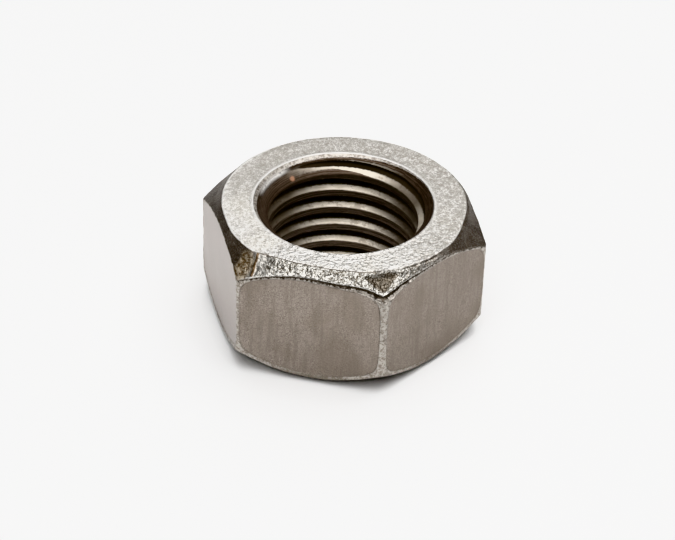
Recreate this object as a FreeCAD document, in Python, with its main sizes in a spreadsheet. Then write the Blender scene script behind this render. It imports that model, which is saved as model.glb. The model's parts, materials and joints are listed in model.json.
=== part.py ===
import FreeCAD, Part
import math
import os
import Sketcher

# A plain hexagon nut with a coarse M16 thread, cut from one piece of steel.
# Frame: millimetres, +Z along the thread, the origin at the centre of the
# bottom bearing face, and +X through a corner of the hexagon.

SIZES = {
    "across_flats": 24.0,       # wrench size
    "height": 12.4,             # one bearing face to the other
    "corner_radius": 0.3,       # round on the six upright corners
    "face_inset": 1.4,          # bearing face's diameter, less than across flats
    "chamfer_angle": 41.0,      # corner chamfer, degrees from the bearing face
    "thread_dia": 16.0,         # major diameter
    "thread_pitch": 2.0,        # rise of one turn
    "crest_clearance": 0.165,   # bore's diameter above the thread form's own
    "flank_angle": 30.0,        # each flank, degrees from square to the axis
    "mouth_clearance": 0.9,     # countersink's mouth, more than the major diameter
    "sink_angle": 45.0,         # countersink, degrees from the bearing face
    "lead_in_turns": 1.41,      # turns the thread cutter starts below the nut
    "run_out_turns": 1.5,       # turns it goes on above the nut
    "overcut": 0.5,             # how far a turned cut reaches past the metal
}

# Sizes that follow from the sheet. 1.0825 and 8 belong to the metric form: the
# bore is 1.0825 pitches under the major diameter, and the root's flat and the
# reach of the thread cutter into the open bore are each an eighth of a pitch.
CORNER_CIRCLE = "sizes.across_flats / sqrt(3)"
FACE_RADIUS = "(sizes.across_flats - sizes.face_inset) / 2"
ROOT_RADIUS = "sizes.thread_dia / 2"
BORE_RADIUS = "(sizes.thread_dia - 1.0825 * sizes.thread_pitch + sizes.crest_clearance) / 2"
MOUTH_RADIUS = "(sizes.thread_dia + sizes.mouth_clearance) / 2"
TOP = "sizes.height"
BOTTOM = "0"

HEX_SIDES = 6
BORE_QUARTERS = 4
X_AXIS = -1
Y_AXIS = -2
START = 1
END = 2
CENTRE = 3
UP = FreeCAD.Vector(0, 0, 1)
ORIGIN = FreeCAD.Vector(0, 0, 0)


def make_sheet(doc):
    """Put every driving size in a cell whose alias is its name."""
    sheet = doc.addObject("Spreadsheet::Sheet", "sizes")
    for row, (name, value) in enumerate(SIZES.items(), start=1):
        sheet.set(f"A{row}", name)
        sheet.set(f"B{row}", str(value))
        sheet.setAlias(f"B{row}", name)
    doc.recompute()


def origin_plane(body, role):
    """The body's own origin plane of that role."""
    for feature in body.Origin.OriginFeatures:
        if feature.Role == role:
            return feature
    raise RuntimeError(f"{body.Label} has no {role}")


def new_sketch(body, name, role):
    """An empty sketch on one of the body's origin planes."""
    sketch = body.newObject("Sketcher::SketchObject", name)
    sketch.AttachmentSupport = (origin_plane(body, role), [""])
    sketch.MapMode = "FlatFace"
    return sketch


def drive(sketch, constraint, name, expression):
    """Add a dimension to a sketch and tie it to the sheet."""
    index = sketch.addConstraint(constraint)
    sketch.renameConstraint(index, name)
    sketch.setExpression(f"Constraints.{name}", expression)


def draw_ring(sketch, sides):
    """A regular polygon of joined lines about the origin, to be driven to size."""
    points = []
    for i in range(sides):
        angle = 2 * math.pi * i / sides
        points.append(FreeCAD.Vector(math.cos(angle), math.sin(angle), 0))
    for i in range(sides):
        sketch.addGeometry(Part.LineSegment(points[i], points[(i + 1) % sides]))
    for i in range(sides):
        sketch.addConstraint(Sketcher.Constraint("Coincident", i, END, (i + 1) % sides, START))


def profile(body, name, corners):
    """A closed outline on the XZ plane; each corner is (radius, height) as expressions."""
    sketch = new_sketch(body, name, "XZ_Plane")
    draw_ring(sketch, len(corners))
    for i, (radius, height) in enumerate(corners):
        out = Sketcher.Constraint("DistanceX", X_AXIS, START, i, START, 1.0)
        rise = Sketcher.Constraint("DistanceY", X_AXIS, START, i, START, 1.0)
        drive(sketch, out, f"radius_{i}", radius)
        drive(sketch, rise, f"height_{i}", height)
    return sketch


def blank(body):
    """The hexagonal blank, drawn on its corner circle and padded to height."""
    sketch = new_sketch(body, "hexagon", "XY_Plane")
    draw_ring(sketch, HEX_SIDES)
    circle = sketch.addGeometry(Part.Circle(ORIGIN, UP, 1.0), True)
    sketch.addConstraint(Sketcher.Constraint("Coincident", circle, CENTRE, X_AXIS, START))
    sketch.addConstraint(Sketcher.Constraint("PointOnObject", 0, START, X_AXIS))
    for i in range(HEX_SIDES):
        sketch.addConstraint(Sketcher.Constraint("PointOnObject", i, START, circle))
    for i in range(1, HEX_SIDES):
        sketch.addConstraint(Sketcher.Constraint("Equal", 0, i))
    drive(sketch, Sketcher.Constraint("Radius", circle, 1.0), "corner_circle", CORNER_CIRCLE)
    pad = body.newObject("PartDesign::Pad", "blank")
    pad.Profile = sketch
    pad.setExpression("Length", TOP)
    return pad


def corner_rounds(body, pad):
    """Round the six upright edges of the blank."""
    upright = []
    for number, edge in enumerate(pad.Shape.Edges, start=1):
        if abs(edge.tangentAt(edge.FirstParameter).dot(UP)) > 0.99:
            upright.append(f"Edge{number}")
    rounds = body.newObject("PartDesign::Fillet", "corner_rounds")
    rounds.Base = (pad, upright)
    rounds.setExpression("Radius", "sizes.corner_radius")


def cone_cut(body, name, face, inward, edge, reach, angle):
    """Turn a cone off one bearing face, from the circle at edge out, or in, to reach.

    face is the face's height and inward is the sign that leads into the metal.
    """
    drop = f"abs({reach} - {edge}) * tan(sizes.{angle} * 1 deg)"
    corners = [(edge, face), (reach, face), (reach, f"{face} {inward} {drop}")]
    cut = body.newObject("PartDesign::Groove", name)
    cut.Profile = profile(body, f"{name}_outline", corners)
    cut.ReferenceAxis = (cut.Profile[0], ["V_Axis"])
    cut.Angle = 360
    cut.Refine = False


def bore(body):
    """Drill the bore to the thread's crests, with its wall in four quarters."""
    sketch = new_sketch(body, "bore_circle", "XY_Plane")
    quarter = 2 * math.pi / BORE_QUARTERS
    for i in range(BORE_QUARTERS):
        circle = Part.Circle(ORIGIN, UP, 1.0)
        sketch.addGeometry(Part.ArcOfCircle(circle, i * quarter, (i + 1) * quarter))
        sketch.addConstraint(Sketcher.Constraint("Coincident", i, CENTRE, X_AXIS, START))
        axis = X_AXIS if i % 2 == 0 else Y_AXIS
        sketch.addConstraint(Sketcher.Constraint("PointOnObject", i, START, axis))
    for i in range(BORE_QUARTERS):
        after = (i + 1) % BORE_QUARTERS
        sketch.addConstraint(Sketcher.Constraint("Coincident", i, END, after, START))
    drive(sketch, Sketcher.Constraint("Radius", 0, 1.0), "bore_radius", BORE_RADIUS)
    hole = body.newObject("PartDesign::Pocket", "bore")
    hole.Profile = sketch
    hole.Reversed = True
    hole.setExpression("Length", TOP)
    hole.Refine = False


def thread(body):
    """Cut the right-hand thread as one helical groove right through the bore."""
    reach = f"({BORE_RADIUS} - sizes.thread_pitch / 8)"
    start = "-sizes.lead_in_turns * sizes.thread_pitch"
    root = "sizes.thread_pitch / 16"
    mouth = f"({root} + ({ROOT_RADIUS} - {reach}) * tan(sizes.flank_angle * 1 deg))"
    corners = [
        (reach, f"{start} - {mouth}"),
        (ROOT_RADIUS, f"{start} - {root}"),
        (ROOT_RADIUS, f"{start} + {root}"),
        (reach, f"{start} + {mouth}"),
    ]
    cut = body.newObject("PartDesign::SubtractiveHelix", "thread")
    cut.Profile = profile(body, "thread_form", corners)
    cut.ReferenceAxis = (cut.Profile[0], ["V_Axis"])
    cut.Mode = "pitch-height-angle"
    turns_outside = "(sizes.lead_in_turns + sizes.run_out_turns)"
    cut.setExpression("Pitch", "sizes.thread_pitch")
    cut.setExpression("Height", f"{TOP} + {turns_outside} * sizes.thread_pitch")
    cut.LeftHanded = False
    cut.Refine = False


def hex_nut(doc):
    """The nut: blank, rounded corners, chamfered faces, bore, thread, countersinks."""
    body = doc.addObject("PartDesign::Body", "hex_nut")
    body.Label = "hex_nut"
    pad = blank(body)
    doc.recompute()
    corner_rounds(body, pad)
    past_corners = f"({CORNER_CIRCLE} + sizes.overcut)"
    inside_bore = f"({BORE_RADIUS} - sizes.overcut)"
    chamfer = (FACE_RADIUS, past_corners, "chamfer_angle")
    sink = (MOUTH_RADIUS, inside_bore, "sink_angle")
    cone_cut(body, "top_chamfer", TOP, "-", *chamfer)
    cone_cut(body, "bottom_chamfer", BOTTOM, "+", *chamfer)
    bore(body)
    thread(body)
    cone_cut(body, "top_sink", TOP, "-", *sink)
    cone_cut(body, "bottom_sink", BOTTOM, "+", *sink)
    body.Placement = FreeCAD.Placement(ORIGIN, FreeCAD.Rotation())
    doc.recompute()
    return body


def check(doc, body):
    """Stop if a feature failed, if a cut removed nothing, or if the solid is bad."""
    for thing in doc.Objects:
        if "Invalid" in thing.State or "Error" in thing.State:
            raise RuntimeError(f"{thing.Label} failed: {thing.State}")
    for feature in body.Group:
        if not feature.isDerivedFrom("PartDesign::Feature") or feature.BaseFeature is None:
            continue
        if feature.Shape.Volume >= feature.BaseFeature.Shape.Volume:
            raise RuntimeError(f"{feature.Label} removed nothing")
    shape = body.Shape
    if shape.isNull() or not shape.isValid() or len(shape.Solids) != 1:
        raise RuntimeError(f"{body.Label} isn't one valid solid")


def write(body):
    """Write the sub-part to parts/, in a file of its own name."""
    os.makedirs("parts", exist_ok=True)
    body.Shape.exportStep(f"parts/{body.Label}.step")
    box = body.Shape.optimalBoundingBox(False)
    sides = f"{box.XLength:.2f} x {box.YLength:.2f} x {box.ZLength:.2f} mm"
    print(f"{body.Label}: {sides}, {body.Shape.Volume:.0f} mm3")


doc = FreeCAD.newDocument("hex_nut_model")
make_sheet(doc)
nut = hex_nut(doc)
check(doc, nut)
write(nut)
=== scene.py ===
import json
import math

import bpy
import numpy as np
from mathutils import Euler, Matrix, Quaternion, Vector


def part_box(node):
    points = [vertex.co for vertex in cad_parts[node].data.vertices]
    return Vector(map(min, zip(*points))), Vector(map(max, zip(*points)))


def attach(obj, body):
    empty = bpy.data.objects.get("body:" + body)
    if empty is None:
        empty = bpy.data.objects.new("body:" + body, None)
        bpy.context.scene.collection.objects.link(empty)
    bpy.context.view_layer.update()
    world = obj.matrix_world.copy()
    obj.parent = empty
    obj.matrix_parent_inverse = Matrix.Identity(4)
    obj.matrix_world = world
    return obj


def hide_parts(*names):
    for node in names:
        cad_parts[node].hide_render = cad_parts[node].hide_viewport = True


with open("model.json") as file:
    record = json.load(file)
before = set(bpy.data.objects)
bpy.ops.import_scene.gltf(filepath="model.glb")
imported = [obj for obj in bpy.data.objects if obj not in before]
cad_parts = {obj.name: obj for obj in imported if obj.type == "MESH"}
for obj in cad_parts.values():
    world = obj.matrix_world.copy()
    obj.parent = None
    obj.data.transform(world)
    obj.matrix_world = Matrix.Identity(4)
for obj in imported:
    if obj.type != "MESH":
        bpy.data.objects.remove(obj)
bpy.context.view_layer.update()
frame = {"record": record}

# The nut is shaped at one unit to the millimetre, and brought to metres at the end.
MM = 0.001

# ---------------------------------------------------------------- sizes, in mm

low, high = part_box("hex_nut")
HEIGHT = (high[2] - low[2]) / MM
ACROSS_FLATS = (high[1] - low[1]) / MM
FLAT = ACROSS_FLATS / 2
CORNER = ACROSS_FLATS / math.sqrt(3)
SIDES = 6
SIXTH = 2 * math.pi / SIDES
MOUNTS = {mount["name"]: mount for mount in frame["record"]["mounts"]}
BORE = MOUNTS["thread"]["dims"]["r_mm"]

PITCH = 2.0
THREAD_ROOT = 8.0        # radius at the bottom of the thread
GROOVE_AT_X = 1.18       # height of a groove's middle where it crosses +X
FLANK = math.tan(math.radians(30))
FACE = 11.3              # radius of the flat bearing face
CHAMFER = math.radians(41)
MOUTH = 8.45             # radius of the countersink at the bearing face
CORNER_ROUND = 0.28
GRID = 0.1               # the even mesh that the worn surface is worked in
MOST_TRIANGLES = 196000
MOST_CUTS = 8            # tries at cutting the nut before giving up
METAL_SLACK = 0.005      # share by which its metal may differ from the design's

# ---------------------------------------------------------------- modelling


def only(thing):
    """Deselect everything, then select one object and make it active."""
    if bpy.context.object and bpy.context.object.mode != "OBJECT":
        bpy.ops.object.mode_set(mode="OBJECT")
    bpy.ops.object.select_all(action="DESELECT")
    thing.select_set(True)
    bpy.context.view_layer.objects.active = thing


def named(name):
    """The primitive just added, with its place in its mesh and a name."""
    thing = bpy.context.object
    thing.name = name
    thing.data.name = name
    only(thing)
    bpy.ops.object.transform_apply(location=True, rotation=True, scale=True)
    return thing


def modify(thing, kind, **settings):
    """Give a thing one modifier and apply it."""
    only(thing)
    modifier = thing.modifiers.new(kind.lower(), kind)
    for name, value in settings.items():
        setattr(modifier, name, value)
    bpy.ops.object.modifier_apply(modifier=modifier.name)


def cut(thing, tool, operation):
    """Cut a thing with a tool, which is used up."""
    modify(thing, "BOOLEAN", object=tool, operation=operation, solver="MANIFOLD")
    bpy.data.objects.remove(tool)


def cone(name, radius_low, radius_high, bottom, top):
    """A round cone or drum between two heights."""
    bpy.ops.object.select_all(action="DESELECT")
    bpy.ops.mesh.primitive_cone_add(
        vertices=256, radius1=radius_low, radius2=radius_high,
        depth=top - bottom, location=(0, 0, (bottom + top) / 2),
    )
    return named(name)


def blank():
    """The hexagonal blank with its upright corners rounded."""
    bpy.ops.object.select_all(action="DESELECT")
    bpy.ops.mesh.primitive_cylinder_add(
        vertices=SIDES, radius=CORNER, depth=HEIGHT,
        location=(0, 0, HEIGHT / 2), rotation=(0, 0, SIXTH / 2),
    )
    nut = named("nut")
    bpy.ops.object.mode_set(mode="EDIT")
    bpy.ops.mesh.select_mode(type="EDGE")
    bpy.ops.mesh.select_all(action="DESELECT")
    bpy.ops.object.mode_set(mode="OBJECT")
    for edge in nut.data.edges:
        ends = [nut.data.vertices[i].co for i in edge.vertices]
        edge.select = abs(ends[0].z - ends[1].z) > HEIGHT / 2
    bpy.ops.object.mode_set(mode="EDIT")
    bpy.ops.mesh.bevel(offset=CORNER_ROUND, segments=4)
    bpy.ops.object.mode_set(mode="OBJECT")
    return nut


def chamfer_faces(nut):
    """Turn the corners off both faces by keeping what two cones hold."""
    spread = HEIGHT / math.tan(CHAMFER)
    cut(nut, cone("top_cone", FACE + spread, FACE, 0, HEIGHT), "INTERSECT")
    cut(nut, cone("bottom_cone", FACE, FACE + spread, 0, HEIGHT), "INTERSECT")


def close_end(tool, side):
    """Draw the open end of a wound tool, above or below the nut, in to a point."""
    only(tool)
    bpy.ops.object.mode_set(mode="EDIT")
    bpy.ops.mesh.select_mode(type="VERT")
    bpy.ops.mesh.select_all(action="SELECT")
    bpy.ops.mesh.remove_doubles(threshold=GRID / 100)
    bpy.ops.mesh.select_all(action="DESELECT")
    bpy.ops.mesh.select_non_manifold()
    bpy.ops.object.mode_set(mode="OBJECT")
    for vertex in tool.data.vertices:
        if (vertex.co.z - HEIGHT / 2) * side < 0:
            vertex.select = False
    for edge in tool.data.edges:
        edge.select = all(tool.data.vertices[i].select for i in edge.vertices) and edge.select
    for face in tool.data.polygons:
        face.select = False
    bpy.ops.object.mode_set(mode="EDIT")
    bpy.ops.mesh.extrude_region_move(TRANSFORM_OT_translate={"value": (0, 0, side * PITCH)})
    bpy.ops.mesh.merge(type="CENTER")
    bpy.ops.object.mode_set(mode="OBJECT")


def tap():
    """A tap for the thread: one turn's outline wound up and capped."""
    turns = math.ceil(HEIGHT / PITCH) + 4
    start = GROOVE_AT_X - 2.5 * PITCH
    depth = THREAD_ROOT - BORE
    half_root = PITCH / 16
    half_land = PITCH / 2 - half_root - depth * FLANK
    steps = [
        (0, half_land), (depth, depth * FLANK), (0, 2 * half_root),
        (-depth, depth * FLANK), (0, half_land),
    ]
    bpy.ops.object.select_all(action="DESELECT")
    bpy.ops.mesh.primitive_plane_add(size=1)
    tool = named("tap")
    bpy.ops.object.mode_set(mode="EDIT")
    bpy.ops.mesh.select_mode(type="VERT")
    bpy.ops.mesh.select_all(action="SELECT")
    bpy.ops.mesh.merge(type="CENTER")
    bpy.ops.transform.translate(value=(BORE, 0, start))
    for out, up in steps:
        bpy.ops.mesh.extrude_region_move(TRANSFORM_OT_translate={"value": (out, 0, up)})
    bpy.ops.object.mode_set(mode="OBJECT")
    modify(tool, "SCREW", axis="Z", angle=2 * math.pi, screw_offset=PITCH,
           iterations=turns, steps=144, render_steps=144, use_merge_vertices=True)
    close_end(tool, -1)
    close_end(tool, 1)
    bpy.ops.object.mode_set(mode="EDIT")
    bpy.ops.mesh.select_all(action="SELECT")
    bpy.ops.mesh.normals_make_consistent(inside=False)
    bpy.ops.object.mode_set(mode="OBJECT")
    return tool


def drill_and_tap(nut):
    """Cut the threaded bore right through and countersink both its mouths."""
    cut(nut, tap(), "DIFFERENCE")
    past = 0.5
    sink = MOUTH - BORE + past
    cut(nut, cone("top_sink", BORE - past, MOUTH + past, HEIGHT - sink, HEIGHT + past), "DIFFERENCE")
    cut(nut, cone("bottom_sink", MOUTH + past, BORE - past, -past, sink), "DIFFERENCE")


# ---------------------------------------------------------------- the worn surface


def ripple(places, size, seed):
    """Soft random ups and downs between -1 and 1, about size across."""
    cells = places / size + 17.3 * seed
    corner = np.floor(cells)
    share = cells - corner
    share = share * share * (3 - 2 * share)
    total = np.zeros(len(places))
    for step in np.ndindex(2, 2, 2):
        lattice = corner + step
        value = np.sin(lattice @ (12.9898, 78.233, 37.719)) * 43758.5453
        value = 2 * (value - np.floor(value)) - 1
        total += value * np.prod(np.where(step, share, 1 - share), axis=1)
    return total


def ramp(value, start, end):
    """0 before start, 1 after end, and smooth between them."""
    share = np.clip((value - start) / (end - start), 0, 1)
    return share * share * (3 - 2 * share)


def window(value, start, end, soft):
    """1 between start and end, fading to 0 within soft outside them."""
    return ramp(value, start - soft, start) * (1 - ramp(value, end, end + soft))


def ridge(value, middle, width):
    """1 at the middle, fading to nothing about a width away."""
    return np.exp(-((value - middle) / width) ** 2)


def vertex_places(nut):
    """Every vertex's place, as an array."""
    places = np.empty(3 * len(nut.data.vertices))
    nut.data.vertices.foreach_get("co", places)
    return places.reshape(-1, 3)


class Survey:
    """Where each place lies on the nut, in millimetres and degrees.

    A bearing is in degrees from the front, growing to the right: the front right corner
    is at 30 and the front left one at -30.
    """

    def __init__(self, places):
        x, y, z = places.T
        self.places = places
        self.top = z > HEIGHT / 2
        self.radius = np.hypot(x, y)
        self.bearing = np.degrees(np.arctan2(x, -y))
        self.depth = HEIGHT / 2 - np.abs(z - HEIGHT / 2)
        turn = np.radians(np.mod(self.bearing + 30, 60) - 30)

        # below the edge between a chamfer and a flat: positive down the flat,
        # negative up the chamfer
        drop = self.depth - (FLAT / np.cos(turn) - FACE) * math.tan(CHAMFER)
        self.brow = np.where(drop > 0, drop, drop / math.sin(CHAMFER))
        self.corner = FLAT * math.tan(SIXTH / 2) - np.abs(self.radius * np.sin(turn))

        # the worn edge climbs on to the chamfer near the front right corner
        lift = self.round_about((5, 0), (14, 0.2), (24, 0.75), (30, 0.85), (36, 0.5), (46, 0.2), (56, 0))
        self.edge = self.brow + lift * self.top

        self.bore = self.radius < MOUTH
        self.face = (self.radius < FACE) & (self.depth < 0.15) & ~self.bore
        self.flat = (drop > 0) & (self.radius > FACE)
        self.slope = ~self.bore & ~self.face & ~self.flat

    def round_about(self, *pairs):
        """A value that changes steadily between given bearings."""
        bearings, values = zip(*pairs)
        return np.interp(self.bearing, bearings, values)


def face_edge(at):
    """Radius of the bearing face: the top chamfer bites deepest at the front."""
    upper = at.round_about(
        (-180, 11.5), (-90, 11.5), (-60, 11.4), (-46, 11.65), (-31, 11.75), (-19, 11.0), (-6, 10.8),
        (4, 10.8), (14, 11.0), (24, 11.35), (40, 11.6), (72, 11.7), (90, 11.45), (120, 11.65), (180, 11.5),
    )
    return np.where(at.top, upper, FACE)


def gap_width(at):
    """Width of the dark groove under the lip: widest at the front right corner."""
    width = at.round_about(
        (-34, 0.0), (-28, 0.1), (-8, 0.22), (12, 0.36), (24, 0.42), (30, 0.62), (37, 0.34), (50, 0.16),
        (70, 0.08), (90, 0.1), (110, 0.0),
    )
    return width * at.top


def torn(at):
    """How crumpled a chamfer is, from 0 to 1: most at the front, least at the left."""
    upper = at.round_about(
        (-180, 0.1), (-100, 0.05), (-60, 0.05), (-27, 0.3), (-18, 0.85), (0, 1.0), (30, 0.9),
        (45, 0.7), (70, 0.4), (95, 0.25), (140, 0.1),
    )
    return np.where(at.top, upper, 0.25)


def bare(at):
    """How much bright metal shows on a chamfer through its brown skin."""
    upper = at.round_about(
        (-180, 0.25), (-120, 0.05), (-60, 0.0), (-34, 0.1), (-25, 0.85), (-10, 1.0), (30, 0.95),
        (42, 0.62), (60, 0.42), (80, 0.12), (100, 0.08), (140, 0.2), (180, 0.25),
    )
    return np.where(at.top, upper, 0.35)


def dent(at):
    """The three-cornered dent above the front right corner, 0 to 1 deep."""
    middle = math.radians(30)
    x, y = at.places.T[:2]
    outwards = x * math.sin(middle) - y * math.cos(middle)
    sideways = x * math.cos(middle) + y * math.sin(middle) + 0.1 * ripple(at.places, 0.5, 7)
    down = (outwards - 11.55) / 1.45
    within = np.minimum(sideways + 1.8 - 1.7 * down, 2.25 - 1.85 * down - sideways)
    return at.top * at.slope * ramp(within, -0.1, 0.95) * ramp(down, -0.05, 0.2)


def seam(at):
    """A thin crooked weal down the chamfer, beside the rust at the front left corner."""
    sideways = np.radians(at.bearing + 27.7 - 1.73 * (at.radius - 11.64)) * at.radius
    sideways += 0.1 * ripple(at.places, 0.45, 8)
    return at.top * at.slope * ridge(sideways, 0, 0.15) * window(at.radius, 11.6, 13.1, 0.2)


def rust(at):
    """A brown stain on the chamfer at the front left corner."""
    blot = 0.25 * ripple(at.places, 0.7, 9)
    across = window(at.bearing + 8 * blot, -33.5, -28.5, 3)
    return at.top * across * window(at.radius + blot, 12.3, 13.6, 0.6)


def inset(at):
    """How far inside the smooth panel of its flat a place is, in millimetres."""
    margin = at.round_about((-180, 0.12), (-110, 0.02), (-60, 0.02), (-30, 0.12), (180, 0.12))
    from_brow = at.edge - np.where(at.top, gap_width(at) + margin, 0.34)
    flare = 0.3 * ridge(at.depth, 0.9, 1.0) * ~at.top
    side = at.round_about(
        (-180, 0.2), (-110, 0.16), (-40, 0.16), (-20, 0.2), (0, 0.25), (20, 0.4), (40, 0.36), (60, 0.2),
    )
    from_corner = at.corner - side - flare
    sharp = 1.9
    return -np.log(np.exp(-sharp * from_brow) + np.exp(-sharp * from_corner)) / sharp


def worn_flats(at, middling):
    """Flats: a smooth panel inside a rough raised border."""
    panel = ramp(inset(at), -0.02, 0.12)
    out = at.flat * (0.012 * ripple(at.places, 3.0, 6) - 0.045 * panel)
    return out + at.flat * (1 - panel) * (0.01 + 0.035 * middling)


def worn_chamfers(at, coarse, middling):
    """Chamfers: crumpled at the front and smooth elsewhere, with the dent and the weal."""
    folds = 1 - 2 * np.abs(ripple(at.places, 0.4, 5))
    out = at.slope * torn(at) * (0.05 * coarse + 0.035 * middling + 0.055 * folds)
    out += at.slope * 0.012 * coarse
    return out - 0.34 * dent(at) + 0.08 * seam(at)


def worn_lip(at, coarse, middling):
    """The ragged lip along the bottom of the chamfer, and the groove under it."""
    gap = gap_width(at)
    bulk = np.minimum(gap, 0.4)
    lip = at.top * ~at.bore * bulk * 0.24 * ridge(at.edge, -0.14, 0.15) * (1 + 0.8 * coarse)
    groove = ~at.face * bulk * 0.5 * ridge(at.edge, gap / 2, gap / 2 + 0.04) * (1 + 0.4 * middling)
    return lip - groove


def worn_face(at, coarse, middling):
    """The bearing face runs out past its true edge at the sides, and falls away at the front."""
    outer = face_edge(at)
    spread = math.tan(CHAMFER) / math.cos(CHAMFER)
    reach = np.clip((outer - FACE) / (1 + spread * math.sin(CHAMFER)), 0, 1)
    past = np.clip(at.radius - FACE, 0, reach)
    out = at.top * at.slope * spread * past * (1 - ramp(at.radius, FACE + reach, FACE + reach + 0.9))
    bitten = at.top * ~at.bore * (outer < FACE) * (at.radius < FACE + 0.6)
    out -= bitten * 0.12 * ramp(at.radius, outer, FACE + 0.1)
    return out + at.face * (0.006 * coarse + 0.006 * middling)


def burrs(at, middling):
    """Burrs round the mouth and the left of the face, and a scribed line at the front."""
    outer = face_edge(at)
    on_rim = at.top & ~at.bore & (at.depth < 0.5)
    left = window(at.bearing, -110, -32, 15)
    rough = 0.7 + 0.6 * middling
    out = at.face * 0.05 * ridge(at.radius, MOUTH + 0.16, 0.16) * rough
    out += on_rim * 0.045 * left * ridge(at.radius, outer - 0.14, 0.14) * rough
    return out - on_rim * 0.05 * (1 - left) * ridge(at.radius, outer, 0.07)


def wear(at):
    """How far each place stands out from the true shape, in millimetres."""
    coarse = ripple(at.places, 0.9, 3)
    middling = ripple(at.places, 0.45, 4)
    out = worn_flats(at, middling)
    out += worn_chamfers(at, coarse, middling)
    out += worn_lip(at, coarse, middling)
    out += worn_face(at, coarse, middling)
    out += burrs(at, middling)
    out += at.bore * 0.012 * middling

    # nothing may stand below the bottom face
    low_down = ~at.top & (at.depth < 0.3)
    return np.where(low_down, np.minimum(out, 0), out)


def copper_spot(at):
    """A small smear of copper on the countersink, at the back left."""
    across = ridge(at.bearing, -124, 2.2)
    return at.top * (at.depth < 1.7) * across * ridge(MOUTH - at.radius, 1.1, 0.22)


def press(nut, amounts):
    """Move the surface out or in by painted amounts."""
    most = float(np.abs(amounts).max())
    levels = 255
    for name, side in (("proud", 1), ("sunk", -1)):
        group = nut.vertex_groups.new(name=name)
        step = np.rint(np.clip(side * amounts / most, 0, 1) * levels).astype(int)
        for level in range(1, levels + 1):
            chosen = np.flatnonzero(step == level)
            if len(chosen):
                group.add(chosen.tolist(), level / levels, "REPLACE")
    for name, side in (("proud", 1), ("sunk", -1)):
        modify(nut, "DISPLACE", vertex_group=name, strength=side * most, mid_level=0)
    nut.vertex_groups.clear()


def paint(nut, **values):
    """Keep values for each vertex, for the finish to read."""
    for name, value in values.items():
        attribute = nut.data.attributes.new(name, "FLOAT", "POINT")
        attribute.data.foreach_set("value", np.asarray(value, dtype=np.float32))


def paint_kinds(nut):
    """Mark what each place is, how worn, and where light and shade are painted, for the finish."""
    at = Survey(vertex_places(nut))
    paint(
        nut,
        brow=at.brow,
        edge=at.edge,
        inset=np.where(at.flat, inset(at), -1),
        gap=gap_width(at),
        past_edge=at.radius - face_edge(at),
        torn=torn(at),
        bare=bare(at),
        dent=dent(at),
        seam=seam(at),
        rust=rust(at),
        # painted reflection: the left flat is painted lighter
        clean=window(at.bearing, -88, -31, 2) * at.flat,
        shade=at.round_about(
            (-180, 0.2), (-95, 0.1), (-88, 0.0), (-35, 0.0), (-25, 0.2),
            (25, 0.2), (35, 0.42), (88, 0.42), (95, 0.2),
        ),
        sandy=at.round_about(
            (-180, 0.72), (-95, 0.6), (-60, 0.95), (-30, 1), (35, 1), (60, 0.85), (110, 0.8), (180, 0.72),
        ),
        # painted shade: the bearing face darker away from the front, most at the back
        dusk=at.round_about(
            (-180, 0.85), (-95, 0.72), (-60, 0.15), (-30, 0), (35, 0), (60, 0.6), (110, 0.75), (180, 0.85),
        ),
        # painted highlight: flank colour spread over the countersink as the first pale band
        band=at.top * window(MOUTH - at.radius, 0.5, 1.0, 0.08) * at.round_about(
            (-180, 0.8), (-167, 0.8), (-137, 0.55), (-124, 0.4), (-118, 0), (132, 0), (150, 0.5), (180, 0.8),
        ),
        glint=at.top * window(at.bearing, -116, -96, 12) * ridge(MOUTH - at.radius, 0.42, 0.13),
        left_burr=window(at.bearing, -120, -35, 20),
        burred=at.round_about(
            (-180, 0.75), (-60, 0.8), (-35, 0.6), (-15, 0.05), (50, 0.05), (90, 0.5),
            (125, 0.75), (180, 0.75),
        ),
        low=~at.top * ramp(-at.depth, -1.3, -0.7),
        line=at.round_about((-32, 0), (-27, 1), (22, 1), (36, 0.5), (52, 0)),
        rim=at.round_about(
            (-180, 0.22), (-110, 0.34), (-75, 0.3), (-30, 0.1), (60, 0.03), (125, 0.03), (180, 0.22),
        ),
        # painted shade: thread flanks darkened where they turn out of the light
        soot=at.round_about(
            (-155, 0), (-138, 0.4), (-120, 0.85), (-70, 0.9), (60, 0.6), (94, 0.1), (104, 0),
            (112, 0.4), (124, 0.85), (146, 0.78), (162, 0.4), (176, 0),
        ),
        copper=copper_spot(at),
    )


def volume(thing):
    """How much metal a closed mesh holds, in its own units."""
    mesh = thing.data
    mesh.calc_loop_triangles()
    corners = np.empty(3 * len(mesh.loop_triangles), dtype=np.int32)
    mesh.loop_triangles.foreach_get("vertices", corners)
    first, second, third = vertex_places(thing)[corners.reshape(-1, 3)].transpose(1, 0, 2)
    return float(np.sum(first * np.cross(second, third))) / 6


def machined():
    """The nut as cut, in an even mesh; cut afresh if it doesn't hold the designed metal."""
    designed = volume(bpy.data.objects["hex_nut"]) / MM ** 3
    for _ in range(MOST_CUTS):
        nut = blank()
        chamfer_faces(nut)
        drill_and_tap(nut)
        modify(nut, "REMESH", mode="VOXEL", voxel_size=GRID)
        if abs(volume(nut) / designed - 1) < METAL_SLACK:
            return nut
        bpy.data.objects.remove(nut)
    raise RuntimeError("the cut nut doesn't hold the designed metal")


def make_nut():
    """The whole nut: cut, worn, thinned to a fair mesh, painted and brought to metres."""
    nut = machined()
    modify(nut, "SMOOTH", factor=0.5, iterations=2)
    press(nut, wear(Survey(vertex_places(nut))))
    modify(nut, "TRIANGULATE")
    modify(nut, "DECIMATE", ratio=MOST_TRIANGLES / len(nut.data.polygons))
    paint_kinds(nut)
    nut.scale = (MM, MM, MM)
    only(nut)
    bpy.ops.object.transform_apply(location=True, rotation=True, scale=True)
    bpy.ops.object.shade_smooth()
    return nut


# ---------------------------------------------------------------- finishes


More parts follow.
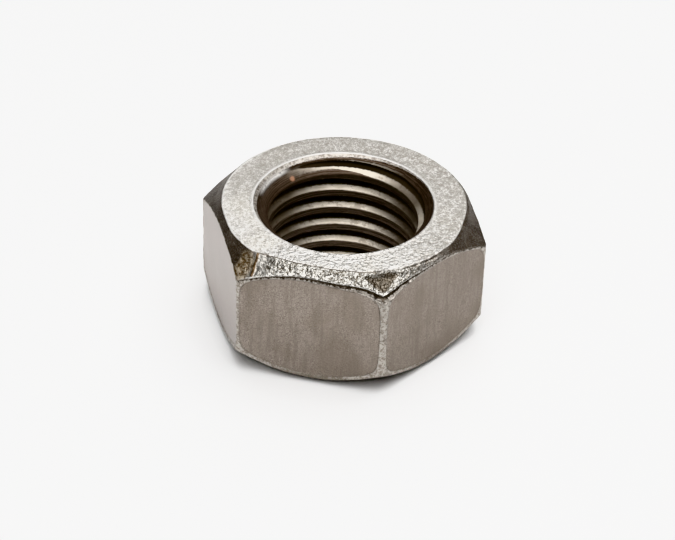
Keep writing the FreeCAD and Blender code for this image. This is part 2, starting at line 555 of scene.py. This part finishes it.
class Value:
    """A shader socket that can be used in sums."""

    def __init__(self, finish, socket):
        self.finish = finish
        self.socket = socket

    def sum(self, operation, *terms):
        return self.finish.node("ShaderNodeMath", {"operation": operation}, *terms)

    def __add__(self, other):
        return self.sum("ADD", self, other)

    def __sub__(self, other):
        return self.sum("SUBTRACT", self, other)

    def __mul__(self, other):
        return self.sum("MULTIPLY", self, other)

    def __radd__(self, other):
        return self.sum("ADD", other, self)

    def __rsub__(self, other):
        return self.sum("SUBTRACT", other, self)

    def __rmul__(self, other):
        return self.sum("MULTIPLY", other, self)

    def __abs__(self):
        return self.sum("ABSOLUTE", self)

    def root(self):
        return self.sum("SQRT", self)

    def rise(self, start, end):
        """0 before start, 1 after end, and smooth between them."""
        settings = {"interpolation_type": "SMOOTHSTEP"}
        return self.finish.node("ShaderNodeMapRange", settings, self, start, end, 0.0, 1.0)


class Finish:
    """One material, built node by node."""

    def __init__(self, name):
        self.material = bpy.data.materials.new(name)
        self.material.use_nodes = True
        self.tree = self.material.node_tree
        self.tree.nodes.clear()

    def plug(self, value, socket):
        """Feed a socket with another node's result or with a constant."""
        if isinstance(value, Value):
            self.tree.links.new(value.socket, socket)
        elif isinstance(value, tuple) and len(value) < len(socket.default_value):
            socket.default_value = (*value, 1)
        else:
            socket.default_value = value

    def node(self, kind, settings, *inputs, output=0, **named_inputs):
        """Add a node; its sockets take values or the results of other nodes."""
        made = self.tree.nodes.new(kind)
        for name, value in settings.items():
            setattr(made, name, value)
        for place, value in [*enumerate(inputs), *named_inputs.items()]:
            key = place.replace("_", " ") if isinstance(place, str) else place
            self.plug(value, made.inputs[key])
        return Value(self, made.outputs[output])

    def painted(self, name):
        """A value painted on the mesh."""
        return self.node("ShaderNodeAttribute", {"attribute_name": name}, output="Fac")

    def mix(self, share, first, second):
        """A colour between two others."""
        made = self.tree.nodes.new("ShaderNodeMix")
        made.data_type = "RGBA"
        self.plug(share, made.inputs[0])
        self.plug(first, made.inputs[6])
        self.plug(second, made.inputs[7])
        return Value(self, made.outputs[2])

    def noise(self, place, size, detail=2.0, roughness=0.5):
        """Soft random values near 0.5; size is in millimetres."""
        return self.node("ShaderNodeTexNoise", {}, Vector=place, Scale=1 / size,
                         Detail=detail, Roughness=roughness)

    def done(self, **inputs):
        """Finish with one shader on the material."""
        shader = self.node("ShaderNodeBsdfPrincipled", {}, **inputs)
        out = self.tree.nodes.new("ShaderNodeOutputMaterial")
        self.tree.links.new(shader.socket, out.inputs["Surface"])
        return self.material


class Steel(Finish):
    """Worn bare steel, with the grain and the painted wear that its parts share."""

    def __init__(self):
        super().__init__("worn_steel")
        raw = self.node("ShaderNodeTexCoord", {}, output="Object")
        place = self.node("ShaderNodeVectorMath", {"operation": "SCALE"}, raw, Scale=1 / MM)
        x, y, z = (self.node("ShaderNodeSeparateXYZ", {}, place, output=axis) for axis in range(3))
        self.z = z
        self.radius = (x * x + y * y).root()
        self.edge = self.painted("edge")
        self.gap = self.painted("gap")
        self.bared = self.painted("bare")
        self.past_edge = self.painted("past_edge")
        self.crumpled = self.painted("torn")

        self.speck = self.noise(place, 0.13, 3.0, 0.7)
        self.grain = self.noise(place, 0.34, 3.0, 0.6)
        self.cloud = self.noise(place, 1.6, 3.0, 0.55)
        self.broad = self.noise(place, 4.5, 2.0, 0.5)
        self.crinkle = self.noise(place, 0.30, 2.0, 0.6)
        self.folds = (abs(self.crinkle - 0.5) * 8.0 + (self.grain - 0.5) * 2.0).rise(0.0, 0.9)
        drawn = self.node("ShaderNodeMapping", {}, place, (0, 0, 0), (0, 0, 0), (1.0, 1.0, 0.1))
        self.streak = self.noise(drawn, 0.5, 3.0, 0.6)
        turned = self.node("ShaderNodeCombineXYZ", {}, self.radius, z, self.cloud * 0.3)
        self.rings = self.noise(turned, 0.11, 2.0, 0.6)
        self.ragged = (self.grain - 0.5) * 0.45 + (self.speck - 0.5) * 0.2

        self.sink = MOUTH - self.radius
        self.in_bore = self.sink.rise(-0.03, 0.03)
        self.panel = (self.painted("inset") + self.ragged * 0.7).rise(0.0, 0.07)

    def chamfers(self):
        """Torn bright metal showing through a brown skin."""
        skin = self.mix(self.cloud.rise(0.3, 0.7), (0.070, 0.053, 0.039), (0.14, 0.115, 0.092))
        flecks = (self.speck + self.bared * 0.12).rise(0.46, 0.66) * 0.55
        skin = self.mix(flecks, skin, (0.34, 0.31, 0.27))
        torn_metal = self.mix(self.folds, (0.11, 0.095, 0.073), (0.66, 0.64, 0.60))
        smooth_metal = self.mix(self.speck.rise(0.3, 0.7), (0.36, 0.34, 0.31), (0.52, 0.50, 0.47))
        metal = self.mix(self.crumpled.rise(0.3, 0.8), smooth_metal, torn_metal)
        shows = (self.bared + (self.cloud - 0.5) * 0.5 + (self.speck - 0.5) * 0.5).rise(0.3, 0.7)
        return self.mix(shows, skin, metal)

    def dent_and_rust(self, colour):
        """The dirty dent, the brown stain and the weal beside it."""
        dented = (self.painted("dent") + self.ragged * 0.9).rise(0.04, 0.5) * 0.92
        dirt = self.mix(self.folds, (0.055, 0.045, 0.034), (0.19, 0.16, 0.125))
        colour = self.mix(dented, colour, dirt)
        patches = (self.grain + (self.speck - 0.5) * 0.6).rise(0.38, 0.62)
        stained = self.mix(patches, (0.18, 0.12, 0.06), (0.66, 0.56, 0.42))
        colour = self.mix(self.painted("rust") * 0.8, colour, stained)
        weal = (self.painted("seam") + self.ragged * 0.5).rise(0.3, 0.65)
        return self.mix(weal * 0.9, colour, (0.09, 0.05, 0.02))

    def lip(self, colour):
        """A bright ragged lip along the bottom of the torn chamfer."""
        below = (self.edge + self.ragged * 0.6 - self.gap).rise(-0.03, 0.03)
        colour = self.mix(below * self.gap.rise(0.02, 0.09), colour, (0.32, 0.295, 0.265))
        above = 1 - (self.edge + self.ragged).rise(0.0, 0.05)
        near = (self.edge + self.ragged * 1.4 + 0.22).rise(0.0, 0.10)
        bright = above * near * self.bared.rise(0.2, 0.9) * self.grain.rise(0.32, 0.6)
        return self.mix(bright * 0.9, colour, (0.82, 0.80, 0.76))

    def bearing_faces(self, colour):
        """Bright and sandy, slightly yellow in patches, with burrs at both edges."""
        bright = self.mix(self.broad.rise(0.45, 0.7) * 0.5, (0.70, 0.68, 0.65), (0.68, 0.64, 0.56))
        bright = self.mix(self.cloud.rise(0.35, 0.7) * 0.25, bright, (0.55, 0.52, 0.48))
        # painted shade: the bearing face darker away from the front, most at the back
        bright = self.mix(self.painted("dusk"), bright, (0.38, 0.355, 0.32))
        dimmer = self.mix(self.grain.rise(0.35, 0.65), (0.26, 0.235, 0.20), (0.47, 0.44, 0.40))
        sandy = self.painted("sandy")
        grit = self.speck + (self.grain - 0.5) * 0.6
        bright = self.mix(grit.rise(0.48, 0.36) * sandy * 0.6, bright, dimmer)
        bright = self.mix(grit.rise(0.50, 0.62) * sandy * 0.8, bright, (0.96, 0.95, 0.93))
        burr = 1 - (self.radius - MOUTH + self.ragged * 1.8).rise(0.15, 0.45)
        rim_line = (self.past_edge + self.ragged * 1.0 + 0.30).rise(0.0, 0.15) * self.painted("left_burr")
        burred = (burr + rim_line).rise(0.2, 1.0) * self.painted("burred")
        bright = self.mix(burred, bright, (0.76, 0.745, 0.72))
        colour = self.mix((self.past_edge + self.ragged * 0.3).rise(0.05, -0.05), colour, bright)
        scribed = abs(self.past_edge + (self.cloud - 0.5) * 0.25).rise(0.11, 0.04)
        return self.mix(scribed * self.painted("line") * 0.85, colour, (0.12, 0.10, 0.08))

    def flats(self, colour):
        """Dull warm grey, finely grained and streaked, with a bright rough border."""
        mottle = (self.speck * 0.75 + self.grain * 0.25).rise(0.34, 0.64)
        dull = self.mix(mottle, (0.160, 0.136, 0.115), (0.390, 0.345, 0.306))
        dull = self.mix(self.cloud.rise(0.35, 0.65) * 0.42, dull, (0.325, 0.287, 0.252))
        dull = self.mix(self.broad.rise(0.45, 0.62) * 0.42, dull, (0.185, 0.153, 0.123))
        dull = self.mix(self.streak.rise(0.42, 0.66) * 0.45, dull, (0.185, 0.156, 0.132))
        dull = self.mix(self.speck.rise(0.70, 0.76) * 0.6, dull, (0.10, 0.085, 0.07))
        dull = self.mix(self.painted("shade"), dull, (0.175, 0.143, 0.115))
        # painted reflection: the left flat is painted lighter
        dull = self.mix(self.painted("clean") * 0.85, dull, (0.44, 0.405, 0.385))
        lumps = (self.grain + (self.speck - 0.5) * 0.8).rise(0.38, 0.6)
        border = self.mix(lumps, (0.24, 0.21, 0.18), (0.47, 0.44, 0.40))
        border = self.mix(self.painted("low") * 0.75, border, (0.17, 0.145, 0.115))
        flat = self.mix(self.panel, border, dull)
        return self.mix((self.painted("brow") + self.ragged * 0.35).rise(-0.02, 0.03), colour, flat)

    def groove(self, colour):
        """Grime and painted shade in the groove under the lip."""
        above = (self.edge + self.ragged * 1.1 - self.gap).rise(0.10, -0.06)
        below = (self.edge + self.ragged * 1.1).rise(-0.06, 0.05)
        # grime and painted shade under the overhanging lip
        grime_and_shade = self.mix(self.grain.rise(0.35, 0.65), (0.045, 0.037, 0.030), (0.11, 0.093, 0.076))
        return self.mix(above * below * self.gap.rise(0.02, 0.09), colour, grime_and_shade)

    def flanks(self):
        """Thread flanks painted pale beige as a painted highlight, with dark smears, and painted shade where
        they turn out of the light.
        """
        # painted highlight: the flanks are painted far paler than the crests
        flank = self.mix(self.cloud.rise(0.3, 0.7), (0.62, 0.56, 0.47), (0.80, 0.74, 0.65))
        smears = (self.cloud + (self.grain - 0.5) * 0.6).rise(0.56, 0.68) * 0.45
        flank = self.mix(smears, flank, (0.22, 0.165, 0.11))
        # painted shade where the flanks turn out of the light
        return self.mix(self.painted("soot"), flank, (0.10, 0.078, 0.056))

    def threads(self, flank):
        """Ringed brown crests darkened as painted shade, the painted-highlight flanks between, and black
        roots of grease and painted shade.
        """
        inward = self.radius - BORE
        # painted shade: the crests are painted dark brown
        crest = self.mix(self.rings.rise(0.35, 0.65), (0.048, 0.038, 0.030), (0.165, 0.136, 0.112))
        threads = self.mix((inward + self.ragged * 0.15).rise(0.04, 0.14), crest, flank)
        # grease and painted shade: the roots are painted black
        black = self.mix(self.painted("soot") * 0.6, (0.018, 0.014, 0.010), (0.085, 0.066, 0.048))
        return self.mix((inward + self.ragged * 0.3).rise(0.5, 0.68), threads, black)

    def countersinks(self, flank):
        """A brown ringed cone with a bright rim, a first pale band of painted highlight and a painted glint.
        """
        sunk = self.mix(self.rings.rise(0.35, 0.65), (0.05, 0.036, 0.027), (0.16, 0.125, 0.10))
        burnt = self.mix(self.grain.rise(0.36, 0.62), (0.30, 0.265, 0.23), (0.68, 0.64, 0.59))
        rim = (self.sink - self.painted("rim") + self.ragged * 0.5).rise(0.03, -0.03)
        sunk = self.mix(rim, sunk, burnt)
        # painted highlight: the first pale band
        sunk = self.mix(self.painted("band"), sunk, flank)
        return self.mix(self.painted("glint"), sunk, (0.95, 0.93, 0.90))

    def bore(self, colour):
        """The thread and the countersinks, with one copper spot."""
        flank = self.flanks()
        cone_off = abs(self.z - HEIGHT / 2 - (HEIGHT / 2 - self.sink))
        walls = self.mix(cone_off.rise(0.07, 0.03), self.threads(flank), self.countersinks(flank))
        copper = (self.painted("copper") + self.ragged * 0.5).rise(0.2, 0.7)
        walls = self.mix(copper * 0.8, walls, (0.50, 0.28, 0.18))
        return self.mix(self.in_bore, colour, walls)

    def relief(self):
        """Fine grain everywhere, and deeper crinkles in the torn places."""
        rough_places = (1 - self.panel) * (1 - self.in_bore)
        crinkled = (self.crinkle * 3.0 + self.grain) * self.crumpled
        height = self.speck * 0.4 + (self.grain * 0.5 + crinkled) * rough_places
        return self.node("ShaderNodeBump", {}, Strength=1.0, Distance=0.00007, Height=height,
                         output="Normal")


def steel():
    """Bare steel: sandy faces, dull flats, torn bright edges, brown skin and rust."""
    finish = Steel()
    colour = finish.chamfers()
    colour = finish.dent_and_rust(colour)
    colour = finish.lip(colour)
    colour = finish.bearing_faces(colour)
    colour = finish.flats(colour)
    colour = finish.groove(colour)
    colour = finish.bore(colour)
    polish = finish.crumpled * 0.12 * (1 - finish.in_bore)
    roughness = 0.42 + 0.12 * finish.grain + finish.in_bore * 0.10 - polish
    return finish.done(Base_Color=colour, Metallic=1.0, Roughness=roughness, Normal=finish.relief())


def paper():
    """The pale matt floor."""
    return Finish("pale_floor").done(Base_Color=(0.9, 0.9, 0.9), Roughness=0.9)


# ---------------------------------------------------------------- the studio


def floor():
    """A round pale table top under the nut."""
    bpy.ops.object.select_all(action="DESELECT")
    bpy.ops.mesh.primitive_circle_add(
        vertices=128, radius=0.9, fill_type="NGON", location=(0, 0, -0.01 * MM),
    )
    table = named("floor")
    table.data.materials.append(paper())


def softbox(name, place, aim, width, depth, brightness):
    """A square soft light of a given brightness, looking at a point."""
    data = bpy.data.lights.new(name, "AREA")
    data.shape = "RECTANGLE"
    data.size = width
    data.size_y = depth
    data.energy = brightness * math.pi * width * depth
    light = bpy.data.objects.new(name, data)
    bpy.context.collection.objects.link(light)
    light.location = place
    towards = np.array(aim) - np.array(place)
    light.rotation_mode = "QUATERNION"
    light.rotation_quaternion = Vector(towards).to_track_quat("-Z", "Y")


def lights():
    """Soft light from above, more from the front and right, in a dim room."""
    softbox("overhead", (0.13, 0.05, 0.70), (0.13, 0.05, 0), 0.80, 0.80, 3.7)
    softbox("front", (0.0, -0.45, 0.62), (0, 0, 0), 0.55, 0.40, 3.6)
    softbox("behind", (0.0, 0.75, 0.50), (0, 0, 0.1), 0.95, 0.45, 1.0)
    world = bpy.data.worlds.new("room")
    world.use_nodes = True
    world.node_tree.nodes["Background"].inputs["Color"].default_value = (0.15, 0.148, 0.145, 1)
    bpy.context.scene.world = world


def camera():
    """A long lens looking down at the nut from the front, slightly from the right."""
    azimuth = math.radians(13.07)
    elevation = math.radians(35.55)
    roll = math.radians(2.007)
    distance = 8.672 * ACROSS_FLATS * MM
    target = np.array([0.0044, -0.0855, 0.25]) * ACROSS_FLATS * MM
    back = np.array([
        math.sin(azimuth) * math.cos(elevation),
        -math.cos(azimuth) * math.cos(elevation),
        math.sin(elevation),
    ])
    data = bpy.data.cameras.new("camera")
    data.lens = 117.24
    data.sensor_width = 36
    data.clip_start = 0.01
    eye = bpy.data.objects.new("camera", data)
    bpy.context.collection.objects.link(eye)
    eye.location = target + back * distance
    level = Euler((math.pi / 2 - elevation, 0, azimuth)).to_quaternion()
    eye.rotation_mode = "QUATERNION"
    eye.rotation_quaternion = level @ Quaternion((0, 0, 1), roll)
    bpy.context.scene.camera = eye


camera()
lights()
floor()
nut = make_nut()
nut.data.materials.clear()        # cutting leaves an empty place for a finish
nut.data.materials.append(steel())
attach(nut, "root")
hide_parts("hex_nut")

bpy.context.scene.view_settings.view_transform = "Khronos PBR Neutral"
